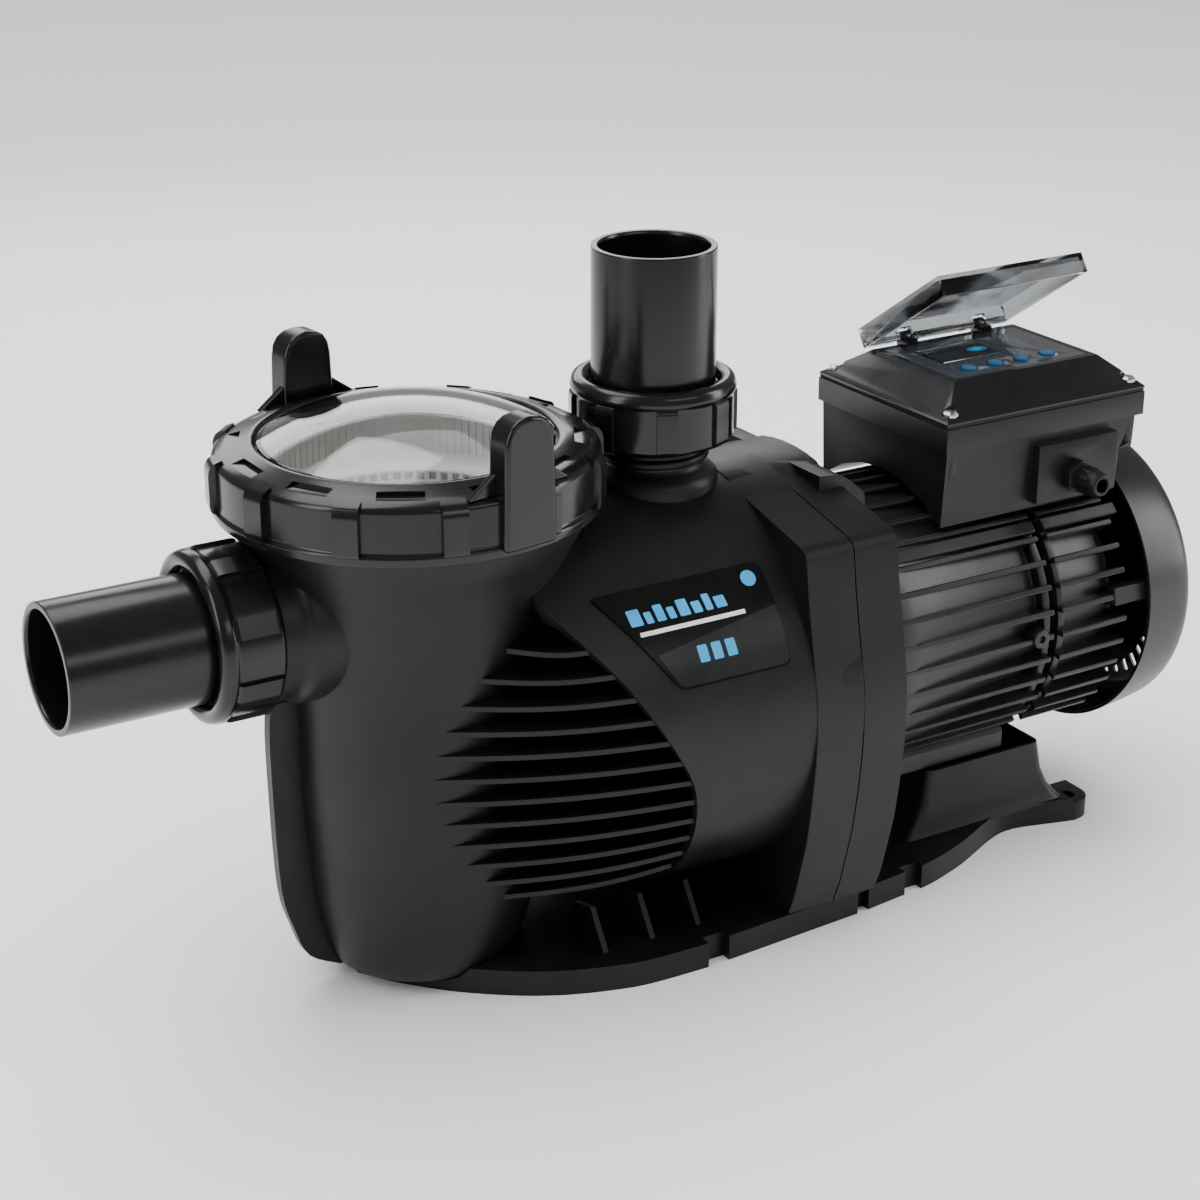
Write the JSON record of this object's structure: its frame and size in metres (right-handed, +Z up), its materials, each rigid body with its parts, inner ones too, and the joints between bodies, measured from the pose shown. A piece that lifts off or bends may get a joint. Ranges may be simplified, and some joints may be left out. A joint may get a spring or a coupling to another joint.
{
  "type": "swimming pool pump",
  "caption": "Self-priming pool pump with a strainer pot under a clear lid, union pipe tails, a finned electric motor and a control box with a hinged clear flap.",
  "frame": {"origin": "on the floor under the axis of the discharge pipe, at the middle of the base's width", "axes": "+X from the suction end towards the motor along the shaft, +Z up; the row's y = 0 plane holds the axes of the shaft and of both pipes"},
  "size_m": [0.6334, 0.2219, 0.3555],
  "materials": {
    "satin_black": "moulded satin black",
    "gloss_black": "glossy black",
    "rubber": "matt black",
    "grey_paint": "dark grey paint on cast aluminium",
    "cover_sheet": "dark grey paint on pressed steel",
    "zinc_steel": "zinc plated",
    "core_steel": "stacked sheet steel",
    "copper": "enamelled copper wire",
    "brass": "machined",
    "ceramic": "grey ceramic face",
    "clear": "clear polycarbonate",
    "off_white": "off-white moulding",
    "board": "green solder mask",
    "film": "printed film",
    "key": "soft blue key"
  },
  "bodies": {
    "pump": {"base_foot": "satin_black", "box_gasket": "rubber", "box_lid": "satin_black", "control_box": "satin_black", "control_panel": "film", "diffuser": "satin_black", "discharge_pipe": "gloss_black", "discharge_seal": "rubber", "display_window": "clear", "drive_board": "board", "fan_cover": "cover_sheet", "flange_bolt_1": "zinc_steel", "flange_bolt_2": "zinc_steel", "flange_bolt_3": "zinc_steel", "flange_bolt_4": "zinc_steel", "flap_pin": "zinc_steel", "front_bearing": "zinc_steel", "gland_body": "satin_black", "gland_seal": "rubber", "housing_gasket": "rubber", "label_plate": "film", "lid_screw_1": "zinc_steel", "lid_screw_2": "zinc_steel", "lid_screw_3": "zinc_steel", "lid_screw_4": "zinc_steel", "motor_frame": "grey_paint", "pot_plug_seal": "rubber", "pump_housing": "satin_black", "rear_bearing": "zinc_steel", "rear_shield": "grey_paint", "seal_plate": "satin_black", "seal_seat": "ceramic", "stator_core": "core_steel", "stator_winding": "copper", "strainer_basket": "off_white", "strainer_pot": "satin_black", "suction_pipe": "gloss_black", "suction_seal": "rubber", "volute_plug_seal": "rubber"},
    "rotor": {"motor_shaft": "zinc_steel", "rotor_core": "core_steel", "impeller": "satin_black", "impeller_nut": "brass", "seal_rotor": "ceramic", "cooling_fan": "satin_black"},
    "lid": {"lid_window": "clear", "lid_seal": "rubber"},
    "lock_ring": {"lock_ring": "gloss_black"},
    "suction_nut": {"suction_nut": "gloss_black"},
    "discharge_nut": {"discharge_nut": "gloss_black"},
    "pot_plug": {"pot_drain_plug": "satin_black"},
    "volute_plug": {"volute_drain_plug": "satin_black"},
    "flap": {"panel_flap": "clear"},
    "gland_nut": {"gland_nut": "satin_black"},
    "button_1": {"panel_button_1": "key"},
    "button_2": {"panel_button_2": "key"},
    "button_3": {"panel_button_3": "key"},
    "button_4": {"panel_button_4": "key"}
  },
  "joints": [
    {"name": "rotor_spin", "type": "hinge", "parent": "pump", "child": "rotor", "pos_m": [0.1, 0, 0.129], "axis": [1, 0, 0], "continuous": true},
    {"name": "lid_lift", "type": "slide", "parent": "pump", "child": "lid", "axis": [0, 0, 1], "range_m": [0, 0.1]},
    {"name": "lock_ring_turn", "type": "hinge", "parent": "lid", "child": "lock_ring", "pos_m": [-0.1392, 0, 0.264], "axis": [0, 0, 1], "range_deg": [0, 45]},
    {"name": "suction_nut_turn", "type": "hinge", "parent": "pump", "child": "suction_nut", "pos_m": [-0.24, 0, 0.2], "axis": [-1, 0, 0], "range_deg": [-20, 720]},
    {"name": "discharge_nut_turn", "type": "hinge", "parent": "pump", "child": "discharge_nut", "pos_m": [0, 0, 0.27], "axis": [0, 0, 1], "range_deg": [-20, 720]},
    {"name": "pot_plug_turn", "type": "hinge", "parent": "pump", "child": "pot_plug", "pos_m": [-0.1392, 0.06, 0.032], "axis": [0, 1, 0], "range_deg": [-20, 720]},
    {"name": "volute_plug_turn", "type": "hinge", "parent": "pump", "child": "volute_plug", "pos_m": [0.004, 0.1, 0.075], "axis": [0, 1, 0], "range_deg": [-20, 720]},
    {"name": "gland_nut_turn", "type": "hinge", "parent": "pump", "child": "gland_nut", "pos_m": [0.232, -0.07, 0.2115], "axis": [0, -1, 0], "range_deg": [-20, 720]},
    {"name": "flap_hinge", "type": "hinge", "parent": "pump", "child": "flap", "pos_m": [0.2, 0.0394, 0.271], "axis": [-1, 0, 0], "range_deg": [-34, 76]},
    {"name": "button_1_press", "type": "slide", "parent": "pump", "child": "button_1", "axis": [0, 0, -1], "range_m": [0, 0.001], "stiffness_N_per_m": 400},
    {"name": "button_2_press", "type": "slide", "parent": "pump", "child": "button_2", "axis": [0, 0, -1], "range_m": [0, 0.001], "stiffness_N_per_m": 400},
    {"name": "button_3_press", "type": "slide", "parent": "pump", "child": "button_3", "axis": [0, 0, -1], "range_m": [0, 0.001], "stiffness_N_per_m": 400},
    {"name": "button_4_press", "type": "slide", "parent": "pump", "child": "button_4", "axis": [0, 0, -1], "range_m": [0, 0.001], "stiffness_N_per_m": 400}
  ]
}
